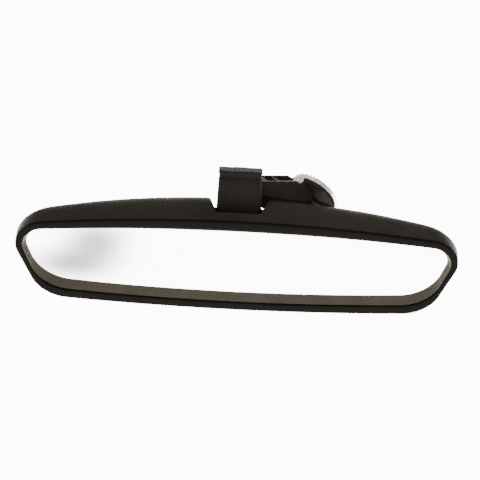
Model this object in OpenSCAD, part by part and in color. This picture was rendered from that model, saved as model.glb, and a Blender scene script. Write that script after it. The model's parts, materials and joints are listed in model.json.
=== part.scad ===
/* [Head rim] */
// Half length of the crown line, to where it meets the line of the end
rim_half = 132.2; // [131:0.2:134]
// Height of the crown above the centre line
rim_top = 31.7; // [31:0.1:32.5]
// Depth of the lower edge below the centre line
rim_bottom = 32.9; // [32:0.1:34]
// Fall of the crown line from its middle to its end
rim_top_sag = 10.2; // [9.5:0.1:11]
// Rise of the lower edge from its middle to its end
rim_bottom_sag = 5.8; // [5:0.1:6.5]
// Angle of the ends from upright
rim_rake = 24; // [23:0.2:26]
// Radius of the upper corners
rim_upper_r = 15.9; // [15:0.1:17]
// Radius of the lower corners
rim_lower_r = 24.3; // [23:0.1:26]

/* [Visible glass] */
// Half length of the upper edge, to where it meets the line of the end
glass_half = 122.5; // [121:0.2:124]
// Height of the glass above the centre line
glass_top = 21.2; // [21:0.1:22]
// Depth of the glass below the centre line
glass_bottom = 23.4; // [22.8:0.1:23.6]
// Fall of the upper edge from its middle to its end
glass_top_sag = 5.35; // [4.5:0.05:6]
// Rise of the lower edge from its middle to its end
glass_bottom_sag = 6.3; // [5.5:0.1:7]
// Angle of the ends from upright
glass_rake = 20; // [18:0.5:22]
// Radius of the upper corners
glass_upper_r = 9.7; // [8.5:0.1:11]
// Radius of the lower corners
glass_lower_r = 27; // [25:0.5:29]
// Depth of the glass face behind the rim
glass_depth = 4.8; // [4.4:0.1:5.2]
// Thickness of the glass
glass_t = 2.2; // [1.8:0.1:2.4]

/* [Casing] */
// Depth of the casing at its middle
casing_depth = 30; // [29.5:0.5:31]
// Depth of the casing at its ends
casing_end_depth = 18; // [17:0.5:19]
// Wall of the casing
casing_wall = 2; // [1.8:0.1:2.4]
// How square the back of the casing is
casing_square = 5; // [4.4:0.1:5.4]
// Half width of the notch at its front edge
notch_front_half = 13.4; // [13:0.1:14]
// Half width of the notch at the back of the casing
notch_rear_half = 17; // [16:0.1:18]
// Front edge of the notch behind the rim
notch_front = 8.7; // [8:0.1:9]

/* [Ball joint] */
// Radius of the ball
ball_r = 5.5; // [5:0.1:5.8]
// Ball centre behind the rim
ball_depth = 18; // [17.8:0.1:18.4]
// Ball centre above the middle of the head
ball_rise = 8; // [7.5:0.1:8.5]
// Lean of the stem from upright, away from the glass
stem_lean = 20; // [19:0.5:21]
// Radius of the stem
stem_r = 4; // [3.8:0.05:4.1]
// Clearance of the running fits, on the radius
run_fit = 0.05; // [0.03:0.01:0.08]

/* [Neck cover] */
// Width of the cover
cover_w = 25; // [24:0.1:25.4]
// Distance from the stem axis to the front of the cover
cover_front = 13; // [12.8:0.1:13.2]
// Depth of the side walls of the cover
cover_side = 4.4; // [4:0.1:4.5]
// Height of the lower edge of the cover above the ball
cover_low = 16.8; // [16.6:0.1:17.4]
// Height of the top of the cover above the ball
cover_high = 41.8; // [41.6:0.1:43]

/* [Mount] */
// Angle from the line of the head back to the mount arm
mount_yaw = 28; // [27.5:0.5:30]
// Distance from the stem to the centre of the foot
foot_reach = 48.9; // [48.5:0.1:50]
// Height of the centre of the foot above the ball
foot_rise = 20.2; // [20:0.1:21]
// Angle from the arm round to the windscreen face
foot_turn = 26.6; // [25:0.2:28]
// Angle between the stem and the windscreen face
foot_tilt = 57.2; // [56:0.2:58]
// Radius of the foot
foot_r = 14.8; // [14.5:0.1:15]
// Radius of the socket for the windscreen button
button_r = 8; // [7:0.1:8.5]
// Depth of the socket for the windscreen button
button_depth = 3; // [2.5:0.1:3]
// Width of the mount arm
arm_w = 11; // [10:0.2:11]

/* [Hidden] */
$fn = 48;
eps = 0.01;

rim = [rim_half, rim_top, rim_bottom, rim_top_sag, rim_bottom_sag, rim_rake, rim_upper_r, rim_lower_r];
sight = [glass_half, glass_top, glass_bottom, glass_top_sag, glass_bottom_sag, glass_rake,
    glass_upper_r, glass_lower_r];

// Frames: the origin is the middle of the windscreen face of the foot.
ball = [0, ball_depth, ball_rise];
stem_axis = [0, sin(stem_lean), cos(stem_lean)];
back_axis = [0, cos(stem_lean), -sin(stem_lean)];
arm_axis = cos(mount_yaw) * [1, 0, 0] + sin(mount_yaw) * back_axis;
head_at = -(ball + foot_reach * arm_axis + foot_rise * stem_axis);

// Front edge of the casing, behind the frame
casing_front = 1.5;
// Share of the way to the rim where the casing wall ends inside
casing_inner_share = 0.78;
// Bottom of the notch, and the tray inside it
notch_floor = 14;
tray_top = 26;
tray_wall = 0.8;
tray_gap = 0.2;
tray_back = 27;
// The tray walls slope off at the back, under the curve of the casing
tray_slope_from = 23.6;
tray_end_high = 19.4;
shelf_in = 10;
shelf_high = 20.5;

// Heights along the stem, from the ball
flange_low = 14;
collar_low = 15.7;
collar_high = 23.6;
boss_low = 25;
boss_high = 36;

boss_r = 8;
flange_r = 6.5;
flange_t = 1;
collar_r = 9;

module in_head() translate(head_at) children();
module on_stem() in_head() translate(ball) rotate([-stem_lean, 0, 0]) children();
module on_arm() on_stem() rotate([0, 0, mount_yaw]) children();
module on_foot() on_arm() translate([foot_reach, 0, foot_rise])
    rotate([0, foot_tilt, foot_turn]) children();

// Outlines: a crown arc, two corner arcs and a lower arc on each side.
function mix(a, b, t) = a + (b - a) * t;
function arc(c, r, a0, a1, n, first) =
    [for (i = [first:n]) c + r * [cos(mix(a0, a1, i / n)), sin(mix(a0, a1, i / n))]];
// Centre of a corner arc of radius r between the end line and the arc of radius R about (0, cy)
function corner(p0, d, cy, R, r, side) =
    let (q = p0 - [0, cy], b = q * d)
    p0 + (-b + side * sqrt(b * b - q * q + (R - r) * (R - r))) * d;
function half_outline(p) =
    let (
        crown_r = (p[0] * p[0] + p[3] * p[3]) / (2 * p[3]),
        lower_r = (p[0] * p[0] + p[4] * p[4]) / (2 * p[4]),
        crown_c = [0, p[1] - crown_r],
        lower_c = [0, lower_r - p[2]],
        d = [sin(p[5]), cos(p[5])],
        n = [cos(p[5]), -sin(p[5])],
        end = [p[0], p[1] - p[3]],
        c1 = corner(end - p[6] * n, d, crown_c[1], crown_r, p[6], 1),
        c2 = corner(end - p[7] * n, d, lower_c[1], lower_r, p[7], -1),
        a1 = atan2(c1[1] - crown_c[1], c1[0]),
        a2 = atan2(c2[1] - lower_c[1], c2[0])
    )
    concat(
        arc(crown_c, crown_r, 90, a1, 9, 0),
        arc(c1, p[6], a1, -p[5], 6, 1),
        arc(c2, p[7], -p[5], a2, 8, 1),
        arc(lower_c, lower_r, a2, -90, 9, 1)
    );
// Outline of the head at share t of the way from the visible glass (0) to the rim (1)
function outline(t) =
    let (half = half_outline(mix(sight, rim, t)), n = len(half))
    concat(half, [for (i = [n - 2:-1:1]) [-half[i][0], half[i][1]]]);

// Plate of the head outline at share t, from depth y0, thickness h
module plate(t, y0, h) in_head() translate([0, y0 + h, 0]) rotate([90, 0, 0])
    linear_extrude(h) polygon(outline(t));

// Triangles that join two rings of n points, the first ring starting at point a
function band(a, b, n) = [for (i = [0:n - 1]) let (j = (i + 1) % n)
    each [[a + i, a + j, b + j], [a + i, b + j, b + i]]];

// Frame swept round the head outline; section is a closed list of [share, depth]
module frame_ring(section) {
    rings = [for (s = section) [for (p = outline(s[0])) [p[0], s[1], p[1]]]];
    n = len(rings[0]);
    m = len(rings);
    in_head() polyhedron(
        [for (r = rings) each r],
        [for (k = [0:m - 1]) each band(k * n, ((k + 1) % m) * n, n)],
        convexity = 6
    );
}

// Casing depth at x
function depth_at(x, mid, end) =
    end + (mid - end) * (1 - pow(min(1, abs(x) / (rim_half * 0.935)), 2.3));
// Ring of the domed skin over an outline, at angle w of a squared quarter curve
function dome_ring(line, w, mid, end) =
    let (s = pow(cos(w), 2 / casing_square), u = pow(sin(w), 2 / casing_square))
    [for (p = line) [p[0] * s, mix(casing_front, depth_at(p[0] * s, mid, end), u), p[1] * s]];
dome_steps = [0, 4, 14, 26, 36, 45, 54, 63, 72, 80, 86, 89];
function flip(faces) = [for (f = faces) [f[2], f[1], f[0]]];
// Faces of one domed skin whose points start at a, with its tip at the end
function dome_faces(a, n, m) = concat(
    [for (k = [0:m - 2]) each flip(band(a + k * n, a + (k + 1) * n, n))],
    [for (i = [0:n - 1]) [a + (m - 1) * n + (i + 1) % n, a + (m - 1) * n + i, a + m * n]]
);

// Domed shell between an outer and an inner skin, open at the front
module domed_shell() {
    outer = outline(1);
    inner = outline(casing_inner_share);
    n = len(outer);
    m = len(dome_steps);
    mid = casing_depth - casing_wall;
    end = casing_end_depth - casing_wall;
    in_head() polyhedron(
        concat(
            [for (w = dome_steps) each dome_ring(outer, w, casing_depth, casing_end_depth)],
            [[0, casing_depth, 0]],
            [for (w = dome_steps) each dome_ring(inner, w, mid, end)],
            [[0, mid, 0]]
        ),
        concat(dome_faces(0, n, m), flip(dome_faces(m * n + 1, n, m)), band(0, m * n + 1, n)),
        convexity = 8
    );
}

// Plan of the notch for the neck: rounded at the front, flared to the back
notch_corner_r = 3;
function notch_plan(grow) =
    let (
        r = notch_corner_r + grow,
        c = [notch_front_half - notch_corner_r, notch_front + notch_corner_r],
        half = concat(
            arc(c, r, -90, -8, 5, 0),
            [[notch_rear_half + grow, 25], [notch_rear_half + grow, casing_depth + 4]]
        )
    )
    concat(half, [for (i = [len(half) - 1:-1:0]) [-half[i][0], half[i][1]]]);

// Screw along Z: shank from 0 to length, head above it
module screw(r, length, head_r, head_h) {
    cylinder(r = r, h = length);
    translate([0, 0, length]) difference() {
        cylinder(r = head_r, h = head_h);
        translate([0, 0, head_h * 0.4]) for (a = [0, 90])
            rotate([0, 0, a]) translate([-head_r * 0.6, -head_r * 0.12, 0])
                cube([head_r * 1.2, head_r * 0.24, head_h]);
    }
}

// ---- Foot and bracket ----

// Shares of the foot, in the frame of its windscreen face, angles about its middle
foot_inner_r = foot_r - 3.4;
foot_ring_t = button_depth;
pan_deep = 5.6;
spring_t = 0.7;
spring_r = 6.4;
key_from = 137;
key_step = 176;
ring_from = 200;
ring_to = 330;
key_inner_r = 9.4;
key_deep = 6.2;
foot_screw_turns = [90, 210, 330];
foot_screw_r = 0.9;
foot_screw_len = 4.2;
foot_screw_at = (button_r + foot_inner_r) / 2 + 0.05;

module foot_band(from, to, r0, r1, z0, z1) rotate([0, 0, from])
    rotate_extrude(angle = to - from) translate([r0, z0]) square([r1 - r0, z1 - z0]);

// Side of the arm, from the stem (r = 0) to the back of the foot; the web at its back hangs lower
arm_top_in = 33.4;
arm_top_out = 29.8;
arm_neck_r = 33.5;
module arm_profile() polygon([
    [4, boss_low + 0.4], [9.6, boss_low + 0.2], [16, 22.6], [30, 19.4], [40, 17], [49.7, 17.2],
    [foot_reach - 8, foot_rise + 9], [arm_neck_r + 2.2, arm_top_out - 1.6], [arm_neck_r, arm_top_out],
    [4, arm_top_in]
]);
module arm_web() polygon([
    [9.6, 24.2], [13, 15], [20, 11.6], [34, 9], [49, 9], [51, 15], [44, 20], [9.6, 26]
]);
// Share of the arm's width that the web takes, at its back
web_share = 0.42;

// Two pockets let into the top of the arm, with a rib between them and a floor that falls to the foot
pocket_deep = 4;
pocket_fall = 0.06;
pocket_tilt = 3.6;
pocket_wall = 1.4;
pocket_from = 13.6;
pocket_rib = [19.4, 20.6];
pocket_to = arm_neck_r - 1.6;
module arm_pocket(from, to) translate([from, pocket_wall - arm_w / 2, 0]) rotate([0, pocket_tilt, 0])
    translate([0, 0, arm_top_in - pocket_deep - from * pocket_fall])
        cube([to - from, arm_w - 2 * pocket_wall, 20]);

// Recess in the back of the pan
recess_deep = 1.2;
module foot_recess() translate([0, 0, -pan_deep - 1]) linear_extrude(recess_deep + 1)
    polygon([[-1.2, 1.5], [-9.2, -12.6], [-2, -16], [5, -13.6], [3.4, -2]]);

module mount_bracket() color([0.2, 0.19, 0.17]) difference() {
    union() {
        on_arm() translate([0, 0, boss_low]) cylinder(r = boss_r, h = boss_high - boss_low);
        difference() {
            on_arm() union() {
                translate([0, arm_w / 2, 0]) rotate([90, 0, 0]) linear_extrude(arm_w) arm_profile();
                translate([0, arm_w / 2, 0]) rotate([90, 0, 0]) linear_extrude(arm_w * web_share) arm_web();
            }
            on_foot() translate([0, 0, -foot_ring_t]) cylinder(r = foot_r + 0.3, h = 30);
            on_arm() arm_pocket(pocket_from, pocket_rib[0]);
            on_arm() arm_pocket(pocket_rib[1], pocket_to);
        }
        on_foot() rotate_extrude() polygon([
            [0, -pan_deep], [10.4, -pan_deep], [foot_r - 1.1, -4.8], [foot_r - 0.4, -4],
            [foot_r - 0.4, -foot_ring_t], [0, -foot_ring_t]
        ]);
        on_foot() foot_band(ring_to, 360 + key_from, foot_inner_r + 0.1, foot_r, -foot_ring_t - 0.3, 0);
    }
    on_foot() translate([0, 0, -foot_ring_t - spring_t - 0.1]) cylinder(r = spring_r + 0.2, h = 3);
    on_stem() translate([0, 0, boss_low - 1]) cylinder(r = stem_r, h = 20);
    on_foot() foot_screw_places() cylinder(r = foot_screw_r + 0.05, h = 3);
    on_foot() foot_band(key_from, key_step, key_inner_r - 0.1, foot_r + 2, -key_deep - 2, 1);
    on_foot() foot_recess();
}

module foot_screw_places() for (a = foot_screw_turns)
    rotate([0, 0, a]) translate([foot_screw_at, 0, -foot_screw_len]) children();

module ball_stem() color([0.72, 0.72, 0.7]) on_stem() {
    sphere(r = ball_r, $fn = 64);
    rotate_extrude() polygon([
        [0, 0], [ball_r * 0.62, 0], [ball_r * 0.62, flange_low - 0.6], [stem_r, flange_low],
        [flange_r, flange_low], [flange_r, flange_low + flange_t], [stem_r, flange_low + flange_t],
        [stem_r, boss_high + 2.8],
        [stem_r - 0.5, boss_high + 3.3], [0, boss_high + 3.3]
    ]);
}

module stem_retainer() color([0.6, 0.6, 0.58]) on_stem() translate([0, 0, boss_high]) difference() {
    cylinder(r = 6.8, h = 2.6, $fn = 6);
    translate([0, 0, -1]) cylinder(r = stem_r, h = 5);
}

module foot_ring() color([0.78, 0.78, 0.76]) on_foot() rotate([0, 0, ring_from + 1])
    rotate_extrude(angle = ring_to - ring_from - 2) polygon([
        [foot_inner_r + 0.1, -foot_ring_t], [foot_r, -foot_ring_t], [foot_r, -0.5],
        [foot_r - 0.5, 0], [foot_inner_r + 0.1, 0]
    ]);

module foot_plate() color([0.16, 0.15, 0.14]) on_foot() difference() {
    translate([0, 0, -foot_ring_t]) cylinder(r = foot_inner_r, h = foot_ring_t);
    translate([0, 0, -foot_ring_t - 1]) cylinder(r = button_r, h = foot_ring_t + 2);
    foot_screw_places() cylinder(r = foot_screw_r + 0.05, h = 10);
    foot_screw_places() translate([0, 0, foot_screw_len - 1.4]) cylinder(r = 1.5, h = 5);
}

module foot_spring() color([0.62, 0.62, 0.58]) on_foot()
    translate([0, 0, -foot_ring_t - spring_t - 0.05]) difference() {
        cylinder(r = spring_r, h = spring_t);
        translate([0, 0, -1]) cylinder(r = 2.4, h = 3);
        for (a = [0:120:240]) rotate([0, 0, a]) translate([3.2, -0.5, -1]) cube([6, 1, 3]);
    }

module locking_insert() color([0.86, 0.81, 0.73]) on_foot() difference() {
    union() {
        foot_band(key_from + 1, ring_from, foot_inner_r + 0.1, foot_r, -foot_ring_t, -0.8);
        foot_band(key_from + 1, key_step - 1, key_inner_r, foot_r - 0.3, -key_deep, -foot_ring_t + eps);
        for (i = [0:5]) let (a = mix(key_from + 3, ring_from - 6, i / 5))
            foot_band(a, a + 4, foot_inner_r + 0.3, foot_r - 0.2, -1, 0);
    }
    for (i = [0:2]) rotate([0, 0, mix(key_from + 8, key_step - 8, i / 2)])
        translate([foot_r - 1.3, -0.7, -key_deep - 1]) cube([3, 1.4, 4]);
    rotate([0, 0, key_from + 7]) translate([key_inner_r - 2, -4, -key_deep - 1]) cube([4, 8, 3]);
}

module foot_screws() color([0.7, 0.7, 0.68]) on_foot() foot_screw_places()
    screw(foot_screw_r, foot_screw_len - 1.3, 1.4, 0.9);

// ---- Neck ----

cover_wall = 1.8;
cover_corner_r = 2.4;
cap_proud = 0.4;
cap_back = -5;
lug_in = 5.9;
lug_out = 8.3;
cover_screw_at = [-9.4, 20.2];

// Plan of a channel, open to the back, of outer half width w
function channel_half(w, front, back, r) = concat(arc([w - r, front + r], r, -90, 0, 6, 0), [[w, back]]);
function both_sides(half) =
    concat([for (i = [len(half) - 1:-1:0]) [-half[i][0], half[i][1]]], half);

module neck_cover() color([0.17, 0.16, 0.15]) on_stem() {
    back = -cover_front + cover_side;
    difference() {
        union() {
            translate([0, 0, cover_low]) linear_extrude(cover_high - cover_low - 1)
                polygon(both_sides(channel_half(cover_w / 2, -cover_front, back, cover_corner_r)));
            translate([0, 0, cover_high - cover_wall]) linear_extrude(cover_wall) polygon(both_sides(concat(
                channel_half(cover_w / 2 + cap_proud, -cover_front - cap_proud, cap_back, cover_corner_r),
                [[cover_w / 2 - 1, cap_back + 1.4]]
            )));
        }
        translate([0, 0, cover_low - 1]) linear_extrude(cover_high - cover_low + 1 - cover_wall)
            polygon(both_sides(channel_half(
                cover_w / 2 - cover_wall, -cover_front + cover_wall, back + 1, cover_corner_r - cover_wall
            )));
    }
    for (side = [-1, 1]) difference() {
        translate([side * (lug_in + lug_out) / 2, -cover_front + cover_wall + 1.8, 20.2])
            cube([lug_out - lug_in, 3.6 + 2 * eps, 5.6], center = true);
        cover_screw_hole(side);
    }
}

module along_side(side, x, at) translate([side * x, at[0], at[1]]) rotate([0, side * 90, 0]) children();
module cover_screw_hole(side) along_side(side, 2, cover_screw_at) cylinder(r = 1.15, h = 8);

module swivel_collar() color([0.24, 0.23, 0.22]) on_stem() difference() {
    union() {
        translate([0, 0, collar_low]) cylinder(r = collar_r, h = collar_high - collar_low);
        translate([-lug_in + 0.1, -cover_front + cover_wall, collar_low + 1.6])
            cube([2 * lug_in - 0.2, 6, 5.8]);
    }
    translate([0, 0, collar_low - 1]) cylinder(r = stem_r + run_fit, h = collar_high - collar_low + 2);
    for (side = [-1, 1]) cover_screw_hole(side);
}

module cover_screws() color([0.66, 0.66, 0.64]) on_stem() for (side = [-1, 1])
    along_side(side, 3, cover_screw_at) screw(1.1, lug_out - 3, 1.6, 1.3);

module ring_washer(low, r0, r1, dish, t) on_stem() translate([0, 0, low]) rotate_extrude()
    polygon([[r0, 0], [r1, dish], [r1, dish + t], [r0, t]]);

module thrust_washer() color([0.85, 0.84, 0.8]) ring_washer(flange_low + 1.1, stem_r + 0.3, 7.6, 0, 0.6);

module wave_washer() color([0.62, 0.62, 0.6]) ring_washer(collar_high, stem_r + 0.3, 7.6, 0.6, 0.5);

// ---- Ball joint in the head ----

cup_in_r = ball_r + run_fit;
cup_out_r = ball_r + 1.2;
pocket_r = cup_out_r + run_fit;
mouth_half_angle = 60;
block_half = 14;
block_top = 4;
block_low = -9.5;
split_gap = 0.2;
clamp_back = 8;
carrier_back = glass_depth + glass_t + 0.8 + 2;
clamp_screw_x = 10.6;
clamp_screw_z = [-7.2, -1.7];
clamp_top = 0.6;
base_half = 26;
base_screw_x = 21;
base_screw_z = [-7, 3];

module mouth(half_angle) on_stem() translate([0, 0, 2])
    cylinder(r1 = 2 * tan(half_angle), r2 = 14 * tan(half_angle), h = 12);
module at_ball() in_head() translate(ball) children();

// Half section of the cup: a shell round the ball, cut away above the mouth
module cup_section() intersection() {
    difference() {
        circle(r = cup_out_r, $fn = 64);
        circle(r = cup_in_r, $fn = 64);
    }
    polygon([[0, 0], [10 * sin(mouth_half_angle), 10 * cos(mouth_half_angle)], [10, -10], [0, -10]]);
}

module ball_cup() color([0.86, 0.86, 0.82]) on_stem() difference() {
    rotate_extrude() cup_section();
    translate([-0.6, -10, -10]) cube([1.2, 20, 6.6]);
}

module clamp_screw_places() for (x = [-1, 1] * clamp_screw_x, z = clamp_screw_z)
    at_ball() translate([x, 0, z]) rotate([-90, 0, 0]) children();
module base_screw_places() for (x = [-1, 1] * base_screw_x, z = base_screw_z)
    in_head() translate([x, carrier_back, ball_rise + z]) rotate([-90, 0, 0]) children();

module socket_block() color([0.3, 0.29, 0.27]) {
    difference() {
        union() {
            in_head() translate([-block_half, carrier_back, ball_rise + block_low])
                cube([2 * block_half, ball_depth - carrier_back - split_gap / 2, block_top - block_low]);
            in_head() translate([-base_half, carrier_back, ball_rise + block_low - 1])
                cube([2 * base_half, 2, block_top + 3 - block_low]);
        }
        on_stem() sphere(r = pocket_r, $fn = 64);
        mouth(mouth_half_angle + 3);
        clamp_screw_places() translate([0, 0, -6]) cylinder(r = 1.55, h = 10);
        base_screw_places() translate([0, 0, -1]) cylinder(r = 1.55, h = 5);
    }
}

module socket_clamp() color([0.28, 0.27, 0.25]) difference() {
    at_ball() translate([-block_half, split_gap / 2, block_low])
        cube([2 * block_half, clamp_back - split_gap / 2, clamp_top - block_low]);
    at_ball() sphere(r = pocket_r, $fn = 64);
    clamp_screw_places() translate([0, 0, -1]) cylinder(r = 1.55, h = 12);
}

module clamp_screws() color([0.7, 0.7, 0.68]) clamp_screw_places()
    translate([0, 0, -5.6]) screw(1.5, clamp_back + 5.6, 2.6, 1.6);

module socket_screws() color([0.7, 0.7, 0.68]) base_screw_places()
    translate([0, 0, -1.6]) screw(1.5, 3.6, 2.6, 1.6);

// ---- Glass and frame ----

module glass_carrier() color([0.22, 0.21, 0.2]) difference() {
    union() {
        plate(-0.5, glass_depth + glass_t + 0.8, 2);
        for (z = [-12, 14]) for (side = [-1, 1]) in_head()
            translate([side * 64 - 34, carrier_back - eps, z]) cube([68, 2.5, 1.6]);
    }
    base_screw_places() translate([0, 0, -4]) cylinder(r = 1.55, h = 6);
    in_head() translate([0, 0, notch_floor]) linear_extrude(40) polygon(notch_plan(tray_wall + tray_gap));
}

module adhesive_pad() color([0.1, 0.1, 0.1]) plate(-0.8, glass_depth + glass_t, 0.8);

module mirror_glass() color([0.85, 0.87, 0.9]) plate(0.16, glass_depth, glass_t);

module glass_gasket() color([0.08, 0.08, 0.08]) frame_ring([
    [0.26, glass_depth + glass_t], [0.26, glass_depth], [0.17, glass_depth], [0.17, glass_depth + glass_t]
]);

module inner_lip_ring() color([0.4, 0.37, 0.33]) frame_ring([
    [0.5, glass_depth], [0.5, glass_depth - 0.6], [0.4, 2.4], [0.4, 0.9], [0.36, 0.5],
    [0.02, glass_depth - 0.4], [0, glass_depth]
]);

module front_bezel() color([0.12, 0.11, 0.09]) frame_ring([
    [0.74, 4], [0.74, 1.2], [1, 1.2], [1, 0.7], [0.93, 0.15], [0.8, 0], [0.6, 0], [0.46, 0.25],
    [0.42, 0.7], [0.42, 2.4], [0.56, 4]
]);

module rear_housing() color([0.2, 0.19, 0.17]) difference() {
    domed_shell();
    in_head() translate([0, 0, notch_floor]) linear_extrude(40) polygon(notch_plan(0));
}

module notch_shroud() color([0.1, 0.1, 0.1]) in_head() difference() {
    intersection() {
        translate([0, 0, notch_floor + tray_gap]) linear_extrude(tray_top - notch_floor - tray_gap)
            polygon(notch_plan(tray_wall));
        translate([-2 * notch_rear_half, 0, 0]) rotate([90, 0, 90])
            linear_extrude(4 * notch_rear_half) polygon([
                [0, 0], [tray_back, 0], [tray_back, tray_end_high], [tray_slope_from, tray_top], [0, tray_top]
            ]);
    }
    difference() {
        translate([0, 0, notch_floor + tray_gap + tray_wall]) linear_extrude(20) polygon(notch_plan(0));
        for (side = [0, 1]) mirror([side, 0, 0]) translate([shelf_in, 0, 0]) rotate([90, 0, 90])
            linear_extrude(notch_rear_half) polygon([
                [0, 0], [notch_front + 3, notch_floor + tray_gap + tray_wall],
                [tray_back, shelf_high], [tray_back + 9, shelf_high], [tray_back + 9, 0]
            ]);
    }
    translate([0, ball_depth + 2, 0]) cylinder(r = 8, h = 40);
}

mount_bracket();
ball_stem();
stem_retainer();
foot_ring();
foot_plate();
foot_spring();
locking_insert();
foot_screws();
neck_cover();
swivel_collar();
cover_screws();
thrust_washer();
wave_washer();
ball_cup();
socket_block();
socket_clamp();
clamp_screws();
socket_screws();
glass_carrier();
adhesive_pad();
mirror_glass();
glass_gasket();
inner_lip_ring();
front_bezel();
rear_housing();
notch_shroud();
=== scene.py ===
"""Interior rearview mirror: the looks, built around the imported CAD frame.

Lengths are in metres, and in millimetres where a comment says so.
"""
import json
import math

import bmesh
import bpy
from mathutils import Matrix, Vector


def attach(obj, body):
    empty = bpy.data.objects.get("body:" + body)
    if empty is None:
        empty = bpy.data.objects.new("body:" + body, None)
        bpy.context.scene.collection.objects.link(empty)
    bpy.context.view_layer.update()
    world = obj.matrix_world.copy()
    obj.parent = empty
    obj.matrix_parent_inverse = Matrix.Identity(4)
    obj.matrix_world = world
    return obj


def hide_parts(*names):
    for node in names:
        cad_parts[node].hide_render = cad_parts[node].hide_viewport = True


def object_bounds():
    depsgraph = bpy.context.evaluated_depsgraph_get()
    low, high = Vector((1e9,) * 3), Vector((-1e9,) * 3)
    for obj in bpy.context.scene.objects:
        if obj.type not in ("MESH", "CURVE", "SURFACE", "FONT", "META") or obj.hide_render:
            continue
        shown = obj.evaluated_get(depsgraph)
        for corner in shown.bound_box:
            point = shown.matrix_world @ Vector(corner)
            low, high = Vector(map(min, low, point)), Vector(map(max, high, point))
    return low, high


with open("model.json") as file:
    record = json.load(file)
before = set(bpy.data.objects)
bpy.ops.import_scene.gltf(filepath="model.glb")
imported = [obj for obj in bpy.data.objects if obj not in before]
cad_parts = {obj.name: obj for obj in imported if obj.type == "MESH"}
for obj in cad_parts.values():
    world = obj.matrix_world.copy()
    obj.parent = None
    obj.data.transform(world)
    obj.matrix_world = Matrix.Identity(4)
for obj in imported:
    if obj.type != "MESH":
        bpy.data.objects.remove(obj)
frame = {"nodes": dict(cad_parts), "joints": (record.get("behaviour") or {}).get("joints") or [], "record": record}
cad_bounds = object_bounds()

MM = 0.001

# ---------------------------------------------------------------- driving dimensions, in millimetres
# They are as in the CAD, but for the rim. It is a little shorter, because its finer arcs bulge past the
# CAD's chords
# Outlines: half length, top, bottom, fall of the crown, rise of the lower edge, rake in degrees, radius of
# the upper corner and of the lower one
ARC_BULGE = 0.12
RIM = (132.2 - ARC_BULGE, 31.7, 32.9, 10.2, 5.8, 24.0, 15.9, 24.3)
SIGHT = (122.5, 21.2, 23.4, 5.35, 6.3, 20.0, 9.7, 27.0)
GLASS_DEPTH = 4.8
GLASS_T = 2.2
CASING_DEPTH = 30.0
CASING_END_DEPTH = 18.0
CASING_FRONT = 1.5
CASING_WALL = 2.0
CASING_INNER_SHARE = 0.78
CASING_SQUARE = 5.0
NOTCH_FRONT_HALF = 13.4
NOTCH_REAR_HALF = 17.0
NOTCH_FRONT = 8.7
NOTCH_FLOOR = 14.0
NOTCH_CORNER_R = 3.0
BALL_IN_HEAD = Vector((0, 18.0, 8.0)) * MM

# Share of the rim's half length where the casing is down to its end depth, and the power of its fall
CASING_REACH = 0.935
CASING_FALL = 2.3
# The notch's sides flare from the end of its corner, in degrees, to the depth where they run straight
NOTCH_CORNER_END = -8
NOTCH_STRAIGHT = 25.0
NOTCH_PAST = 4.0
NOTCH_TOP = 50.0

joints = {j["name"]: j for j in frame["joints"]}
BALL = Vector(joints["neck_swivel"]["pos_m"])
STEM_AXIS = Vector(joints["neck_swivel"]["axis"])
HEAD = BALL - BALL_IN_HEAD


# ---------------------------------------------------------------- outlines
# Steps of the crown, the upper corner, the lower corner and the lower edge
ARC_STEPS = (30, 18, 24, 30)
NOTCH_CORNER_STEPS = 10
# Angles round the dome's quarter curve, closer together where it turns over to the back
DOME_STEPS = (*range(0, 73, 6), 77, 81, 84, 86.5, 88.2, 89.3)


def arc(centre, r, a0, a1, n, first):
    """Points of an arc from angle a0 to a1, in n steps, leaving out the first if first is 1."""
    angles = [math.radians(a0 + (a1 - a0) * i / n) for i in range(first, n + 1)]
    return [(centre[0] + r * math.cos(a), centre[1] + r * math.sin(a)) for a in angles]


def corner(p0, d, cy, big_r, r, side):
    """Centre of a corner arc between the end line and the arc of radius big_r about (0, cy)."""
    qx, qy = p0[0], p0[1] - cy
    b = qx * d[0] + qy * d[1]
    t = -b + side * math.sqrt(b * b - qx * qx - qy * qy + (big_r - r) ** 2)
    return p0[0] + t * d[0], p0[1] + t * d[1]


def outline(t):
    """Head outline at share t from the visible glass (0) to the rim (1), clockwise from the top."""
    w, top, low, fall, rise, rake, upper_r, lower_r = [a + (b - a) * t for a, b in zip(SIGHT, RIM)]
    crown_r = (w * w + fall * fall) / (2 * fall)
    base_r = (w * w + rise * rise) / (2 * rise)
    crown_y, base_y = top - crown_r, base_r - low
    d = (math.sin(math.radians(rake)), math.cos(math.radians(rake)))
    n = (d[1], -d[0])
    end = (w, top - fall)
    c1 = corner((end[0] - upper_r * n[0], end[1] - upper_r * n[1]), d, crown_y, crown_r, upper_r, 1)
    c2 = corner((end[0] - lower_r * n[0], end[1] - lower_r * n[1]), d, base_y, base_r, lower_r, -1)
    a1 = math.degrees(math.atan2(c1[1] - crown_y, c1[0]))
    a2 = math.degrees(math.atan2(c2[1] - base_y, c2[0]))
    half = arc((0, crown_y), crown_r, 90, a1, ARC_STEPS[0], 0)
    half += arc(c1, upper_r, a1, -rake, ARC_STEPS[1], 1)
    half += arc(c2, lower_r, -rake, a2, ARC_STEPS[2], 1)
    half += arc((0, base_y), base_r, a2, -90, ARC_STEPS[3], 1)
    return half + [(-x, y) for x, y in half[-2:0:-1]]


def depth_at(x, mid, end):
    """Depth of the dome at x, which falls from mid in the middle to end near the ends."""
    return end + (mid - end) * (1 - min(1, abs(x) / (RIM[0] * CASING_REACH)) ** CASING_FALL)


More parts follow.
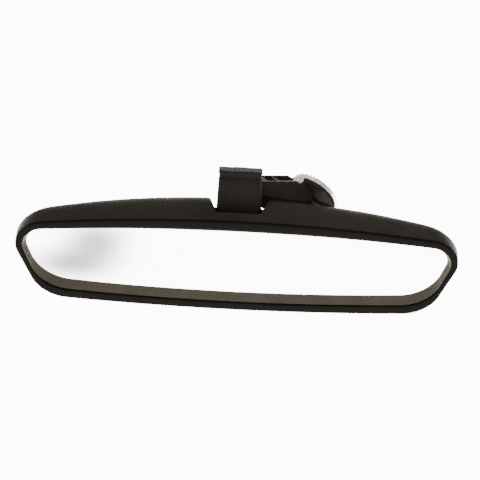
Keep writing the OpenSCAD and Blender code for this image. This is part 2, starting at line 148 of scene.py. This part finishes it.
def dome_point(p, w, mid, end):
    """Point of the domed skin over outline point p, at angle w of a squared quarter curve."""
    s = max(math.cos(w), 0) ** (2 / CASING_SQUARE)
    u = math.sin(w) ** (2 / CASING_SQUARE)
    return p[0] * s, CASING_FRONT + (depth_at(p[0] * s, mid, end) - CASING_FRONT) * u, p[1] * s


# ---------------------------------------------------------------- mesh helpers
def in_head(points):
    """Head coordinates in millimetres, from the middle of the rim, to frame metres."""
    return [HEAD + Vector(p) * MM for p in points]


def plain_object(name, points, faces):
    """Mesh object with its normals facing out."""
    mesh = bpy.data.meshes.new(name)
    mesh.from_pydata([tuple(p) for p in points], [], faces)
    bm = bmesh.new()
    bm.from_mesh(mesh)
    bmesh.ops.recalc_face_normals(bm, faces=bm.faces)
    bm.to_mesh(mesh)
    bm.free()
    obj = bpy.data.objects.new(name, mesh)
    bpy.context.scene.collection.objects.link(obj)
    return obj


def finish_piece(obj, body, material, node, smooth):
    """Gives a piece its material and shading, rides it on a body and lets it stand for a CAD node."""
    obj.data.materials.clear()
    obj.data.materials.append(material)
    shade(obj, smooth)
    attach(obj, body)
    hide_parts(node)
    return obj


def shade(obj, degrees):
    """Smooth shading with sharp edges above the given angle."""
    mesh = obj.data
    mesh.polygons.foreach_set("use_smooth", [True] * len(mesh.polygons))
    bm = bmesh.new()
    bm.from_mesh(mesh)
    limit = math.radians(degrees)
    for e in bm.edges:
        e.smooth = len(e.link_faces) != 2 or e.calc_face_angle(0) < limit
    bm.to_mesh(mesh)
    bm.free()


def ring_faces(rings, n, closed):
    """Quads between successive rings of n points, joined back to the first if closed."""
    pairs = range(rings if closed else rings - 1)
    return [
        (k * n + i, k * n + (i + 1) % n, ((k + 1) % rings) * n + (i + 1) % n, ((k + 1) % rings) * n + i)
        for k in pairs for i in range(n)
    ]


def loft_faces(rings, n):
    """Quads between successive rings of n points, with the first and the last ring closed."""
    last = range(rings * n - 1, (rings - 1) * n - 1, -1)
    return ring_faces(rings, n, False) + [tuple(range(n)), tuple(last)]


def apply_modifiers(obj):
    """Replaces the mesh by its evaluated one."""
    graph = bpy.context.evaluated_depsgraph_get()
    mesh = bpy.data.meshes.new_from_object(obj.evaluated_get(graph))
    obj.modifiers.clear()
    obj.data = mesh
    return obj


def cut(obj, cutter, operation="DIFFERENCE"):
    """Applies a boolean with another object, and removes that object."""
    mod = obj.modifiers.new("cut", "BOOLEAN")
    mod.operation = operation
    mod.solver = "EXACT"
    mod.object = cutter
    bpy.context.view_layer.update()
    apply_modifiers(obj)
    bpy.data.objects.remove(cutter)
    return obj


def round_edges(obj, width, segments, angle):
    """Rounds every edge sharper than the angle, by a width in millimetres."""
    mod = obj.modifiers.new("round", "BEVEL")
    mod.width = width * MM
    mod.segments = segments
    mod.limit_method = "ANGLE"
    mod.angle_limit = math.radians(angle)
    mod.use_clamp_overlap = True
    mod.miter_outer = "MITER_ARC"
    bpy.context.view_layer.update()
    return apply_modifiers(obj)


# Copied CAD nodes: the distance in metres at which points merge, then angles in degrees and rounding steps
MERGE_DISTANCE = 1e-6
FLAT_ANGLE = 1.0
SOFT_SEGMENTS = 2
SOFT_ANGLE = 30
SOFT_SHADING = 35


def soften(node, width, material):
    """Copies a CAD node with its flat faces merged and its sharp edges rounded, and stands for it."""
    source = frame["nodes"][node]
    obj = source.copy()
    obj.data = source.data.copy()
    obj.name = node + "_fine"
    obj.parent = None
    obj.matrix_world = Matrix()
    bpy.context.scene.collection.objects.link(obj)
    bm = bmesh.new()
    bm.from_mesh(obj.data)
    bmesh.ops.remove_doubles(bm, verts=bm.verts, dist=MERGE_DISTANCE)
    bmesh.ops.dissolve_limit(bm, angle_limit=math.radians(FLAT_ANGLE), verts=bm.verts, edges=bm.edges)
    bm.to_mesh(obj.data)
    bm.free()
    round_edges(obj, width, SOFT_SEGMENTS, SOFT_ANGLE)
    body = next(b for b, names in frame["record"]["behaviour"]["bodies"].items() if node in names)
    return finish_piece(obj, body, material, node, SOFT_SHADING)


# ---------------------------------------------------------------- materials
# Noise scales are in cells per metre, and depths of bumps in metres
CLOUDS = 45
SMEARS = 160
RIPPLES = 320
RIPPLE_DEPTH = 0.00004
# Worn edges: where the edge's sharpness starts and ends to show, and how much paler they are
WEAR_FROM = 0.53
WEAR_TO = 0.62
WEAR_GAIN = 1.9
WEAR_LIFT = 0.006
# Bare metal
TARNISH = 380
STAINS = 620
SCUFFS = 520
SCRATCHES = 1500
SCRATCH_DEPTH = 0.00002
BRUSHED_STRETCH = (1, 1, 12)
# Silvered glass
HAZE = 22
DUST = 260
# Rubber and foam
RUBBER_CLOUDS = 120
RUBBER_SMEARS = 400
RUBBER_GRAIN = 1800
RUBBER_DEPTH = 0.00004
# Colour of the sheen on the plastics
WARM_SHEEN = (1.0, 0.9, 0.78, 1.0)


def nodes_of(name):
    """New material, its node tree and its shader."""
    mat = bpy.data.materials.new(name)
    mat.use_nodes = True
    tree = mat.node_tree
    return mat, tree, tree.nodes["Principled BSDF"]


def coords(tree):
    """Object coordinates, which stay on a piece as it moves."""
    return tree.nodes.new("ShaderNodeTexCoord").outputs["Object"]


def noise(tree, scale, detail=4.0, rough=0.55, source=None):
    """Noise between 0 and 1 on object coordinates, or on the given ones."""
    tex = tree.nodes.new("ShaderNodeTexNoise")
    tex.inputs["Scale"].default_value = scale
    tex.inputs["Detail"].default_value = detail
    tex.inputs["Roughness"].default_value = rough
    tree.links.new(source or coords(tree), tex.inputs["Vector"])
    return tex.outputs["Fac"]


def spread(tree, value, low, high, from_low=0.3, from_high=0.7):
    """Maps a value to the range low to high."""
    ramp = tree.nodes.new("ShaderNodeMapRange")
    ramp.inputs["From Min"].default_value = from_low
    ramp.inputs["From Max"].default_value = from_high
    ramp.inputs["To Min"].default_value = low
    ramp.inputs["To Max"].default_value = high
    tree.links.new(value, ramp.inputs["Value"])
    return ramp.outputs["Result"]


def two_tone(tree, fac, a, b):
    """Mixes two colours by a factor."""
    mix = tree.nodes.new("ShaderNodeMix")
    mix.data_type = "RGBA"
    mix.inputs["A"].default_value = (*a, 1)
    mix.inputs["B"].default_value = (*b, 1)
    tree.links.new(fac, mix.inputs["Factor"])
    return mix.outputs["Result"]


def edge_wear(tree, amount):
    """The given amount on worn convex edges, 0 elsewhere."""
    geo = tree.nodes.new("ShaderNodeNewGeometry")
    return spread(tree, geo.outputs["Pointiness"], 0, amount, WEAR_FROM, WEAR_TO)


def bump(tree, shader, layers):
    """Bump layers, each (height output, strength, distance in metres)."""
    last = None
    for height, strength, distance in layers:
        node = tree.nodes.new("ShaderNodeBump")
        node.inputs["Strength"].default_value = strength
        node.inputs["Distance"].default_value = distance
        tree.links.new(height, node.inputs["Height"])
        if last:
            tree.links.new(last, node.inputs["Normal"])
        last = node.outputs["Normal"]
    tree.links.new(last, shader.inputs["Normal"])


def moulded(name, base, lighter, rough, grain=2600, grain_depth=0.00003, spec=0.4, wear=0.35):
    """Moulded plastic with a fine spark-eroded grain, cloudy gloss and slightly paler edges."""
    mat, tree, shader = nodes_of(name)
    cloud = noise(tree, CLOUDS, 3)
    fine = noise(tree, grain, 2, 0.6)
    tone = two_tone(tree, spread(tree, cloud, 0, 1), base, lighter)
    worn = tree.nodes.new("ShaderNodeMix")
    worn.data_type = "RGBA"
    worn.inputs["B"].default_value = (*[min(1, WEAR_GAIN * c + WEAR_LIFT) for c in lighter], 1)
    tree.links.new(tone, worn.inputs["A"])
    tree.links.new(edge_wear(tree, wear), worn.inputs["Factor"])
    tree.links.new(worn.outputs["Result"], shader.inputs["Base Color"])
    gloss = spread(tree, noise(tree, SMEARS, 4), rough - 0.06, rough + 0.07)
    tree.links.new(gloss, shader.inputs["Roughness"])
    shader.inputs["Specular IOR Level"].default_value = spec
    shader.inputs["Specular Tint"].default_value = WARM_SHEEN
    bump(tree, shader, [(fine, 0.2, grain_depth), (noise(tree, RIPPLES, 3), 0.12, RIPPLE_DEPTH)])
    return mat


def metal(name, base, lighter, rough, brushed=0.0, stain=None):
    """Bare metal with fine scratches, faint staining and uneven gloss."""
    mat, tree, shader = nodes_of(name)
    shader.inputs["Metallic"].default_value = 1.0
    tone = two_tone(tree, spread(tree, noise(tree, TARNISH, 5), 0, 1), base, lighter)
    if stain:
        mottle = tree.nodes.new("ShaderNodeMix")
        mottle.data_type = "RGBA"
        mottle.inputs["B"].default_value = (*stain, 1)
        tree.links.new(tone, mottle.inputs["A"])
        patches = spread(tree, noise(tree, STAINS, 6, 0.7), 0, 0.75, 0.5, 0.62)
        tree.links.new(patches, mottle.inputs["Factor"])
        tone = mottle.outputs["Result"]
    tree.links.new(tone, shader.inputs["Base Color"])
    gloss = spread(tree, noise(tree, SCUFFS, 5), rough - 0.08, rough + 0.12)
    tree.links.new(gloss, shader.inputs["Roughness"])
    stretch = tree.nodes.new("ShaderNodeMapping")
    stretch.inputs["Scale"].default_value = BRUSHED_STRETCH if brushed else (1, 1, 1)
    tree.links.new(coords(tree), stretch.inputs["Vector"])
    scratch = noise(tree, SCRATCHES, 4, 0.7, stretch.outputs["Vector"])
    bump(tree, shader, [(scratch, 0.25 + brushed, SCRATCH_DEPTH)])
    return mat


def silvered(name):
    """Silvered glass: a bright mirror with the faintest haze and dust."""
    mat, tree, shader = nodes_of(name)
    shader.inputs["Metallic"].default_value = 1.0
    tone = two_tone(tree, spread(tree, noise(tree, HAZE, 3), 0, 1), (0.93, 0.935, 0.93), (0.95, 0.95, 0.95))
    tree.links.new(tone, shader.inputs["Base Color"])
    tree.links.new(spread(tree, noise(tree, DUST, 5), 0.012, 0.045), shader.inputs["Roughness"])
    shader.inputs["Coat Weight"].default_value = 0.25
    shader.inputs["Coat Roughness"].default_value = 0.02
    return mat


def rubbery(name, base, lighter, rough):
    """Rubber or foam with a coarse, uneven surface."""
    mat, tree, shader = nodes_of(name)
    tone = two_tone(tree, spread(tree, noise(tree, RUBBER_CLOUDS, 4), 0, 1), base, lighter)
    tree.links.new(tone, shader.inputs["Base Color"])
    gloss = spread(tree, noise(tree, RUBBER_SMEARS, 4), rough - 0.05, rough + 0.08)
    tree.links.new(gloss, shader.inputs["Roughness"])
    bump(tree, shader, [(noise(tree, RUBBER_GRAIN, 3), 0.4, RUBBER_DEPTH)])
    return mat


HOUSING = moulded("housing_plastic", (0.0134, 0.0106, 0.0079), (0.017, 0.0137, 0.0104), 0.58, spec=0.05)
COVER = moulded("cover_plastic", (0.0098, 0.0078, 0.006), (0.0124, 0.01, 0.0078), 0.6, spec=0.04, wear=0.45)
BEZEL = moulded("bezel_plastic", (0.0038, 0.0029, 0.0022), (0.0056, 0.0044, 0.0034), 0.5,
                grain=3200, grain_depth=0.00002, spec=0.012)
LIP = moulded("lip_plastic", (0.048, 0.041, 0.031), (0.064, 0.056, 0.044), 0.5,
              grain=1800, grain_depth=0.000015, spec=0.04)
CAST = moulded("cast_black", (0.0088, 0.0067, 0.005), (0.0135, 0.0105, 0.008), 0.65,
               grain=1300, grain_depth=0.00006, spec=0.03, wear=0.6)
FOOT = moulded("foot_plastic", (0.011, 0.0088, 0.0068), (0.017, 0.0138, 0.011), 0.5,
               grain=1500, grain_depth=0.00004, spec=0.14)
KEY = moulded("key_plastic", (0.62, 0.54, 0.43), (0.76, 0.68, 0.56), 0.38,
              grain=2000, grain_depth=0.00002, spec=0.5, wear=0.2)
COLLAR = moulded("collar_plastic", (0.0085, 0.0072, 0.006), (0.0125, 0.0108, 0.009), 0.55, spec=0.12)
SOCKET = moulded("socket_plastic", (0.03, 0.028, 0.025), (0.045, 0.042, 0.038), 0.45)
CARRIER = moulded("carrier_plastic", (0.02, 0.019, 0.017), (0.03, 0.028, 0.025), 0.5)
SHROUD = moulded("shroud_plastic", (0.004, 0.0034, 0.0028), (0.006, 0.0052, 0.0044), 0.65, spec=0.06)
NYLON = moulded("cup_nylon", (0.6, 0.59, 0.53), (0.72, 0.71, 0.65), 0.4, grain=2000, grain_depth=0.00002)
PIN = metal("pin_steel", (0.5, 0.49, 0.47), (0.66, 0.65, 0.62), 0.28, brushed=0.2)
RING = metal("ring_steel", (0.52, 0.52, 0.5), (0.78, 0.78, 0.76), 0.3, brushed=0.1, stain=(0.22, 0.21, 0.17))
SPRING = metal("spring_steel", (0.34, 0.34, 0.3), (0.5, 0.5, 0.46), 0.34,
               brushed=0.2, stain=(0.16, 0.16, 0.11))
SCREW = metal("screw_steel", (0.48, 0.48, 0.46), (0.66, 0.66, 0.63), 0.3)
MIRROR = silvered("mirror")
FOAM = rubbery("pad_foam", (0.012, 0.012, 0.012), (0.022, 0.022, 0.022), 0.8)
SEAL = rubbery("seal_rubber", (0.01, 0.01, 0.01), (0.018, 0.018, 0.018), 0.6)

NODE_LOOKS = {
    "ball_stem": PIN, "stem_retainer": PIN, "foot_spring": SPRING, "foot_screws": SCREW,
    "swivel_collar": COLLAR, "cover_screws": SCREW, "thrust_washer": NYLON, "wave_washer": SPRING,
    "ball_cup": NYLON, "socket_block": SOCKET, "socket_clamp": SOCKET, "clamp_screws": SCREW,
    "socket_screws": SCREW, "glass_carrier": CARRIER, "adhesive_pad": FOAM, "glass_gasket": SEAL,
    "notch_shroud": SHROUD,
}


# ---------------------------------------------------------------- the head
# Sections: share of the way from the visible glass to the rim, depth in millimetres, rounding of the corner
LIP_SECTION = (
    (0.5, 4.8, 0), (0.5, 4.2, 0), (0.4, 2.4, 0.2), (0.4, 0.9, 0.4), (0.36, 0.5, 0.35),
    (0.27, 1.5, 0.15), (0.25, 1.95, 0.2), (0.02, 4.4, 0), (0.0, 4.8, 0),
)
BEZEL_SECTION = (
    (0.74, 4, 0), (0.74, 1.2, 0), (1, 1.2, 0.2), (1, 0.0, 0.4), (0.46, 0.0, 0.3), (0.42, 0.7, 0.3),
    (0.42, 2.4, 0), (0.56, 4, 0),
)
GLASS_SECTION = ((0.16, GLASS_DEPTH + GLASS_T), (0.16, GLASS_DEPTH + 0.5), (0.13, GLASS_DEPTH))
ROUNDING_STEPS = 4
CASING_ROUNDING = 0.8
CASING_ROUNDING_STEPS = 3
CASING_ROUNDING_ANGLE = 50
# Angles in degrees above which an edge is shaded sharp
FRAME_SHADING = 50
GLASS_SHADING = 20
CASING_SHADING = 32
COVER_SHADING = 38


def outline_rings(section):
    """Points of the head outline at each (share, depth), and how many points one outline has."""
    rings = [[(x, depth, z) for x, z in outline(share)] for share, depth in section]
    return sum(rings, []), len(rings[0])


def swept_frame(name, section, material, node):
    """Closed frame swept round the head outline through a section."""
    points, n = outline_rings(section)
    piece = plain_object(name, in_head(points), ring_faces(len(section), n, True))
    return finish_piece(piece, "head", material, node, FRAME_SHADING)


def round_section(section):
    """Rounds each section corner by a curve that starts at its own share of each side."""
    out = []
    for i, (*here, amount) in enumerate(section):
        before, after = section[i - 1], section[(i + 1) % len(section)]
        if not amount:
            out.append(tuple(here))
            continue
        a = [here[k] + (before[k] - here[k]) * amount for k in (0, 1)]
        b = [here[k] + (after[k] - here[k]) * amount for k in (0, 1)]
        for j in range(ROUNDING_STEPS + 1):
            t = j / ROUNDING_STEPS
            out.append(tuple((1 - t) ** 2 * a[k] + 2 * t * (1 - t) * here[k] + t * t * b[k] for k in (0, 1)))
    return out


def build_lip():
    """Sloping lip round the glass, with a fine step about a third of the way down."""
    return swept_frame("inner_lip", round_section(LIP_SECTION), LIP, "inner_lip_ring")


def build_bezel():
    """Dark frame round the lip."""
    return swept_frame("bezel", round_section(BEZEL_SECTION), BEZEL, "front_bezel")


def build_glass():
    """The glass plate, with a narrow ground bevel round its front edge."""
    points, n = outline_rings(GLASS_SECTION)
    glass = plain_object("glass", in_head(points), loft_faces(len(GLASS_SECTION), n))
    return finish_piece(glass, "head", MIRROR, "mirror_glass", GLASS_SHADING)


def notch_plan():
    """Plan of the notch, as (across, back) points."""
    centre = (NOTCH_FRONT_HALF - NOTCH_CORNER_R, NOTCH_FRONT + NOTCH_CORNER_R)
    half = arc(centre, NOTCH_CORNER_R, -90, NOTCH_CORNER_END, NOTCH_CORNER_STEPS, 0)
    half += [(NOTCH_REAR_HALF, NOTCH_STRAIGHT), (NOTCH_REAR_HALF, CASING_DEPTH + NOTCH_PAST)]
    return half + [(-x, y) for x, y in reversed(half)]


def casing_shell():
    """Points and faces of the outer and the inner skin of the dome, joined round the open front."""
    angles = [math.radians(a) for a in DOME_STEPS]
    skins = ((outline(1), CASING_DEPTH, CASING_END_DEPTH),
             (outline(CASING_INNER_SHARE), CASING_DEPTH - CASING_WALL, CASING_END_DEPTH - CASING_WALL))
    points, faces = [], []
    for line, mid, end in skins:
        base, n = len(points), len(line)
        for w in angles:
            points += [dome_point(p, w, mid, end) for p in line]
        points.append((0, mid, 0))
        tip = len(points) - 1
        last = base + (len(angles) - 1) * n
        faces += [tuple(base + v for v in f) for f in ring_faces(len(angles), n, False)]
        faces += [(last + i, last + (i + 1) % n, tip) for i in range(n)]
    inner = len(angles) * n + 1
    faces += [(i, (i + 1) % n, inner + (i + 1) % n, inner + i) for i in range(n)]
    return points, faces


def build_housing():
    """Domed shell with the notch cut out and its edges rounded."""
    points, faces = casing_shell()
    housing = plain_object("housing", in_head(points), faces)
    plan = notch_plan()
    prism = [(x, y, z) for z in (NOTCH_FLOOR, NOTCH_TOP) for x, y in plan]
    cut(housing, plain_object("notch", in_head(prism), loft_faces(2, len(plan))))
    round_edges(housing, CASING_ROUNDING, CASING_ROUNDING_STEPS, CASING_ROUNDING_ANGLE)
    return finish_piece(housing, "head", HOUSING, "rear_housing", CASING_SHADING)


# ---------------------------------------------------------------- the neck cover, in millimetres
# Heights are up the stem from the ball. The cap reaches 1 mm further back than in the CAD
BACK_AXIS = Vector((0, STEM_AXIS.z, -STEM_AXIS.y))
COVER_LOW = 16.8
COVER_HIGH = 41.8
COVER_WALL = 1.8
COVER_FRONT = -13.0
COVER_BACK = -8.6
COVER_BACK_LEAN = 1.2
# Levels above the lower edge: height, half width, set-back of the front, corner radius
COVER_LOWER = (
    (0, 12.1, 0.75, 1.9), (0.15, 12.42, 0.4, 2.2), (0.5, 12.6, 0.2, 2.4), (1.2, 12.68, 0.1, 2.5),
    (4, 12.62, 0.02, 2.5), (9, 12.5, 0, 2.5), (14, 12.36, 0.05, 2.5),
)
# Levels below the top, the same way: the bulge, the groove under the cap and the cap's edge
COVER_UPPER = (
    (7.2, 12.24, 0.15, 2.5), (5.6, 12.18, 0.32, 2.4), (4.6, 12.1, 0.62, 2.3), (3.9, 12.02, 0.95, 2.2),
    (3.2, 11.98, 1.15, 2.2), (2.5, 12.0, 1.15, 2.2), (2.0, 12.1, 0.95, 2.2), (1.6, 12.24, 0.6, 2.2),
    (1.1, 12.34, 0.45, 2.2), (0.5, 12.34, 0.5, 2.2),
)
# Levels of the cap below its top: depth, half width, set-back of the front
CAP_LEVELS = ((1.7, 12.15, 0.75), (1.1, 12.34, 0.45), (0.45, 12.34, 0.5), (0.12, 12.1, 0.8), (0, 11.6, 1.4))
CAP_BACK = -4.0
CAP_BACK_LEAN = 0.2
CAP_CORNER_R = 2.4
CHANNEL_STEPS = 7
CHANNEL_FLAT = 0.45
LEAST_INNER_R = 0.6


def on_stem(points):
    """Stem coordinates in millimetres (across, back, up the stem from the ball) to frame metres."""
    return [BALL + (Vector((1, 0, 0)) * x + BACK_AXIS * b + STEM_AXIS * t) * MM for x, b, t in points]


def channel(w, front, back, r):
    """Half plan of a channel that is open to the back, from its middle to its end."""
    r = min(r, w - 0.1)
    corner_arc = arc((w - r, front + r), r, -90, 0, CHANNEL_STEPS, 0)
    return [(0, front), (w * CHANNEL_FLAT, front)] + corner_arc + [(w, back)]


def cover_level(t, w, front, back, r):
    """Closed loop of the channel wall at height t: round the outside and back along the inside."""
    outer = channel(w, front, back, r)
    inner = channel(w - COVER_WALL, front + COVER_WALL, back, max(r - COVER_WALL, LEAST_INNER_R))
    loop = [(-x, b) for x, b in outer[:0:-1]] + outer + inner[::-1] + [(-x, b) for x, b in inner[1:]]
    return [(x, b, t) for x, b in loop]


def cap_level(t, w, front):
    """Closed loop of the cap at height t."""
    half = channel(w, COVER_FRONT + front, CAP_BACK - (COVER_HIGH - t) * CAP_BACK_LEAN, CAP_CORNER_R)
    return [(x, b, t) for x, b in [(-x, b) for x, b in half[:0:-1]] + half]


def stem_loft(name, loops):
    """Solid through loops of points in stem coordinates."""
    return plain_object(name, on_stem(sum(loops, [])), loft_faces(len(loops), len(loops[0])))


def build_cover():
    """Tapered channel with a soft bulge under a lipped cap."""
    levels = [(COVER_LOW + t, w, f, r) for t, w, f, r in COVER_LOWER]
    levels += [(COVER_HIGH - t, w, f, r) for t, w, f, r in COVER_UPPER]
    loops = []
    for t, w, front, r in levels:
        back = COVER_BACK + (t - COVER_LOW) / (COVER_HIGH - COVER_LOW) * COVER_BACK_LEAN
        loops.append(cover_level(t, w, COVER_FRONT + front, back, r))
    shell = stem_loft("cover", loops)
    cap = stem_loft("cap", [cap_level(COVER_HIGH - t, w, front) for t, w, front in CAP_LEVELS])
    cut(shell, cap, "UNION")
    return finish_piece(shell, "neck", COVER, "neck_cover", COVER_SHADING)


# ---------------------------------------------------------------- assembly
def dress_nodes():
    """Gives the carried-over CAD nodes their materials."""
    for name, material in NODE_LOOKS.items():
        obj = frame["nodes"][name]
        for slot in obj.material_slots:
            slot.material = material


def build_object():
    """Makes every piece. The roundings of the CAD nodes are in millimetres."""
    dress_nodes()
    build_lip()
    build_bezel()
    build_glass()
    build_housing()
    build_cover()
    soften("mount_bracket", 0.35, CAST)
    soften("foot_ring", 0.25, RING)
    soften("foot_plate", 0.25, FOOT)
    soften("locking_insert", 0.2, KEY)


# ---------------------------------------------------------------- stage, in metres
VIEW_ELEVATION = math.radians(40)
VIEW_ROLL = math.radians(2.85)
VIEW_DISTANCE = 3.0
SENSOR = 36.0
FRAME_WIDTH = 0.2707
CLIP_END = 50
# How far to the right of the middle of the rim, and above it, the camera aims
AIM = (1.54 * MM, 14.74 * MM)
FLOOR_DROP = 0.16
FLOOR_HALF = 6.0
FLOOR_GLOW = 12.0
WORLD_GLOW = 1.1
# Lights that face the head: name, place, size, power in watts
LIGHTS = (("key", (-0.5, -0.7, 1.1), (0.9, 0.9), 8), ("back", (0.5, 1.0, 0.8), (1.0, 0.6), 4.5))
# Glowing grey cards a little above the floor, hidden from the camera and from light, that paint a soft grey
# reflection into the glass: name, place from the spot that the glass shows, half sizes, height, in millimetres
REFLECTED_PATCH_CARDS = (("reflected_patch_a", -88, 0, 40, 42, 4), ("reflected_patch_b", -102, 24, 50, 30, 6))
# Grey and strength of the glow of the painted reflection
REFLECTED_PATCH_TONE = 0.78
REFLECTED_PATCH_STRENGTH = 0.9
SQUARE = ((-1, -1), (1, -1), (1, 1), (-1, 1))


def light_table(name, glow):
    """Pale floor, lit from below like a light table, so that it comes out near white."""
    mat, tree, shader = nodes_of(name)
    tone = two_tone(tree, noise(tree, 3, 2), (0.88, 0.88, 0.88), (0.9, 0.9, 0.9))
    tree.links.new(tone, shader.inputs["Base Color"])
    tree.links.new(tone, shader.inputs["Emission Color"])
    shader.inputs["Emission Strength"].default_value = glow
    shader.inputs["Roughness"].default_value = 0.9
    return mat


def build_camera():
    """Camera at the photograph's angle, aimed near the middle of the rim."""
    back = Vector((0, -math.cos(VIEW_ELEVATION), math.sin(VIEW_ELEVATION)))
    up = Vector((0, math.sin(VIEW_ELEVATION), math.cos(VIEW_ELEVATION)))
    right = Vector((1, 0, 0))
    target = HEAD + right * AIM[0] + up * AIM[1]
    turn = Matrix.Rotation(VIEW_ROLL, 3, back)
    axes = Matrix((turn @ right, turn @ up, back)).transposed()
    data = bpy.data.cameras.new("camera")
    data.sensor_width = SENSOR
    data.lens = SENSOR * VIEW_DISTANCE / FRAME_WIDTH
    data.clip_end = CLIP_END
    camera = bpy.data.objects.new("camera", data)
    camera.matrix_world = Matrix.Translation(target + back * VIEW_DISTANCE) @ axes.to_4x4()
    bpy.context.scene.collection.objects.link(camera)
    bpy.context.scene.camera = camera


def area_light(name, place, size, power):
    """Rectangular lamp that faces the head."""
    data = bpy.data.lights.new(name, "AREA")
    data.shape = "RECTANGLE"
    data.size, data.size_y = size
    data.energy = power
    light = bpy.data.objects.new(name, data)
    direction = (HEAD - Vector(place)).normalized()
    light.matrix_world = Matrix.Translation(place) @ direction.to_track_quat("-Z", "Y").to_matrix().to_4x4()
    bpy.context.scene.collection.objects.link(light)


def painted_reflection_paint(name):
    """Glowing grey that fades out from the middle of a card to its edge: the painted reflection that the glass
    shows.
    """
    mat = bpy.data.materials.new(name)
    mat.use_nodes = True
    tree = mat.node_tree
    tree.nodes.clear()
    uv = tree.nodes.new("ShaderNodeUVMap")
    uv.uv_map = "card"
    length = tree.nodes.new("ShaderNodeVectorMath")
    length.operation = "LENGTH"
    tree.links.new(uv.outputs["UV"], length.inputs[0])
    fade = tree.nodes.new("ShaderNodeMapRange")
    fade.interpolation_type = "SMOOTHERSTEP"
    fade.inputs["From Min"].default_value = 0.0
    fade.inputs["From Max"].default_value = 1.0
    fade.inputs["To Min"].default_value = REFLECTED_PATCH_STRENGTH
    fade.inputs["To Max"].default_value = 0.0
    tree.links.new(length.outputs["Value"], fade.inputs["Value"])
    glow = tree.nodes.new("ShaderNodeEmission")
    glow.inputs["Color"].default_value = (REFLECTED_PATCH_TONE, REFLECTED_PATCH_TONE, REFLECTED_PATCH_TONE, 1)
    clear = tree.nodes.new("ShaderNodeBsdfTransparent")
    mix = tree.nodes.new("ShaderNodeMixShader")
    out = tree.nodes.new("ShaderNodeOutputMaterial")
    tree.links.new(fade.outputs["Result"], mix.inputs["Fac"])
    tree.links.new(clear.outputs["BSDF"], mix.inputs[1])
    tree.links.new(glow.outputs["Emission"], mix.inputs[2])
    tree.links.new(mix.outputs["Shader"], out.inputs["Surface"])
    return mat


def reflected_patch_card(name, place, size):
    """Grey card with a soft edge that glows and is seen only in reflections: a painted reflection of the studio in
    front of the glass.
    """
    points = [(place[0] + x * size[0], place[1] + y * size[1], place[2]) for x, y in SQUARE]
    card = plain_object(name, points, [(0, 1, 2, 3)])
    layer = card.data.uv_layers.new(name="card")
    for loop in card.data.loops:
        layer.data[loop.index].uv = SQUARE[loop.vertex_index]
    card.data.materials.append(painted_reflection_paint(name))
    # Hidden from the camera, from diffuse light and from shadows, so the card shows only as a painted reflection
    # in the glass
    card.visible_camera = False
    card.visible_diffuse = False
    card.visible_shadow = False


def build_floor(floor_z):
    """Glowing floor that doesn't light the casing from below."""
    corners = [(x * FLOOR_HALF, y * FLOOR_HALF, floor_z) for x, y in SQUARE]
    floor = plain_object("floor", corners, [(0, 1, 2, 3)])
    floor.data.materials.append(light_table("floor_paint", FLOOR_GLOW))
    floor.visible_diffuse = False


def build_stage():
    """Floor, cards that paint a grey reflection into the glass, studio light and lamps."""
    floor_z = cad_bounds[0][2] - FLOOR_DROP
    build_floor(floor_z)
    reach = (HEAD.z - floor_z) / math.tan(VIEW_ELEVATION)
    for name, x, y, wide, deep, lift in REFLECTED_PATCH_CARDS:
        place = (HEAD.x + x * MM, HEAD.y - reach + y * MM, floor_z + lift * MM)
        reflected_patch_card(name, place, (wide * MM, deep * MM))
    world = bpy.data.worlds.new("studio")
    world.use_nodes = True
    background = world.node_tree.nodes["Background"]
    background.inputs["Color"].default_value = (1, 1, 1, 1)
    background.inputs["Strength"].default_value = WORLD_GLOW
    bpy.context.scene.world = world
    for name, place, size, power in LIGHTS:
        area_light(name, place, size, power)


build_camera()
build_stage()
build_object()
